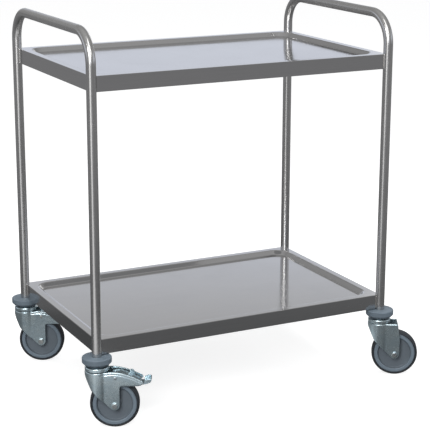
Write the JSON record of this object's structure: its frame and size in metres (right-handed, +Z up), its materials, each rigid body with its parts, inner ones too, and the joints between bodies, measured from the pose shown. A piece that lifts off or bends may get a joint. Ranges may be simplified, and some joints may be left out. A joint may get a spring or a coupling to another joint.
{
  "type": "instrument cart",
  "caption": "Wheeled instrument cart: two bent-tube end frames with push handles, two recessed sheet shelves, swivel castors with bumper discs and foot brakes on one end.",
  "frame": {"origin": "on the floor, under the middle of the whole outline as stored (castors trailing towards +X)", "axes": "+X along the cart towards its right-hand end, where the castors have no brakes; +Y across it, from front to back; +Z up"},
  "size_m": [0.9698, 0.6412, 1],
  "materials": {
    "satin_stainless": "satin ground stainless steel",
    "zinc_steel": "bright zinc plated pressed steel",
    "bearing_steel": "polished",
    "grey_bumper": "matt blue-grey moulded plastic",
    "grey_wheel": "matt blue-grey moulded plastic",
    "dark_tyre": "dark grey rubber tread",
    "black_rubber": "matt rubber",
    "black_plastic": "matt moulded plastic"
  },
  "bodies": {
    "cart_frame": {"left_end_frame": "satin_stainless", "right_end_frame": "satin_stainless", "upper_shelf": "satin_stainless", "lower_shelf": "satin_stainless", "upper_deck_rib": "satin_stainless", "lower_deck_rib": "satin_stainless", "front_left_stem_plug": "black_plastic", "front_left_bumper": "grey_bumper", "front_left_swivel_head": "zinc_steel", "front_right_stem_plug": "black_plastic", "front_right_bumper": "grey_bumper", "front_right_swivel_head": "zinc_steel", "back_left_stem_plug": "black_plastic", "back_left_bumper": "grey_bumper", "back_left_swivel_head": "zinc_steel", "back_right_stem_plug": "black_plastic", "back_right_bumper": "grey_bumper", "back_right_swivel_head": "zinc_steel"},
    "front_left_pedal": {"front_left_brake_pedal": "zinc_steel", "front_left_brake_shoe": "black_rubber"},
    "front_left_castor": {"front_left_fork": "zinc_steel", "front_left_swivel_balls": "bearing_steel", "front_left_axle_bolt": "zinc_steel", "front_left_axle_nut": "zinc_steel", "front_left_axle_sleeve": "zinc_steel", "front_left_brake_pin": "zinc_steel", "front_left_brake_spring": "bearing_steel"},
    "front_left_wheel": {"front_left_wheel_centre": "grey_wheel", "front_left_tyre": "dark_tyre"},
    "front_right_castor": {"front_right_fork": "zinc_steel", "front_right_swivel_balls": "bearing_steel", "front_right_axle_bolt": "zinc_steel", "front_right_axle_nut": "zinc_steel", "front_right_axle_sleeve": "zinc_steel"},
    "front_right_wheel": {"front_right_wheel_centre": "grey_wheel", "front_right_tyre": "dark_tyre"},
    "back_left_pedal": {"back_left_brake_pedal": "zinc_steel", "back_left_brake_shoe": "black_rubber"},
    "back_left_castor": {"back_left_fork": "zinc_steel", "back_left_swivel_balls": "bearing_steel", "back_left_axle_bolt": "zinc_steel", "back_left_axle_nut": "zinc_steel", "back_left_axle_sleeve": "zinc_steel", "back_left_brake_pin": "zinc_steel", "back_left_brake_spring": "bearing_steel"},
    "back_left_wheel": {"back_left_wheel_centre": "grey_wheel", "back_left_tyre": "dark_tyre"},
    "back_right_castor": {"back_right_fork": "zinc_steel", "back_right_swivel_balls": "bearing_steel", "back_right_axle_bolt": "zinc_steel", "back_right_axle_nut": "zinc_steel", "back_right_axle_sleeve": "zinc_steel"},
    "back_right_wheel": {"back_right_wheel_centre": "grey_wheel", "back_right_tyre": "dark_tyre"}
  },
  "joints": [
    {"name": "front_left_swivel", "type": "hinge", "parent": "cart_frame", "child": "front_left_castor", "pos_m": [-0.44749, -0.24684, 0.15], "axis": [0, 0, 1], "continuous": true},
    {"name": "front_left_wheel_spin", "type": "hinge", "parent": "front_left_castor", "child": "front_left_wheel", "pos_m": [-0.40806, -0.26522, 0.0625], "axis": [0.4226, 0.9063, 0], "continuous": true},
    {"name": "front_left_brake_press", "type": "hinge", "parent": "front_left_castor", "child": "front_left_pedal", "pos_m": [-0.40625, -0.26607, 0.135], "axis": [0.4226, 0.9063, 0], "range_deg": [0, 8]},
    {"name": "front_right_swivel", "type": "hinge", "parent": "cart_frame", "child": "front_right_castor", "pos_m": [0.38651, -0.24684, 0.15], "axis": [0, 0, 1], "continuous": true},
    {"name": "front_right_wheel_spin", "type": "hinge", "parent": "front_right_castor", "child": "front_right_wheel", "pos_m": [0.4236, -0.26957, 0.0625], "axis": [0.5225, 0.8526, 0], "continuous": true},
    {"name": "back_left_swivel", "type": "hinge", "parent": "cart_frame", "child": "back_left_castor", "pos_m": [-0.44749, 0.28316, 0.15], "axis": [0, 0, 1], "continuous": true},
    {"name": "back_left_wheel_spin", "type": "hinge", "parent": "back_left_castor", "child": "back_left_wheel", "pos_m": [-0.40873, 0.26341, 0.0625], "axis": [0.454, 0.891, 0], "continuous": true},
    {"name": "back_left_brake_press", "type": "hinge", "parent": "back_left_castor", "child": "back_left_pedal", "pos_m": [-0.40695, 0.2625, 0.135], "axis": [0.454, 0.891, 0], "range_deg": [0, 8]},
    {"name": "back_right_swivel", "type": "hinge", "parent": "cart_frame", "child": "back_right_castor", "pos_m": [0.38651, 0.28316, 0.15], "axis": [0, 0, 1], "continuous": true},
    {"name": "back_right_wheel_spin", "type": "hinge", "parent": "back_right_castor", "child": "back_right_wheel", "pos_m": [0.42492, 0.26274, 0.0625], "axis": [0.4695, 0.8829, 0], "continuous": true}
  ]
}
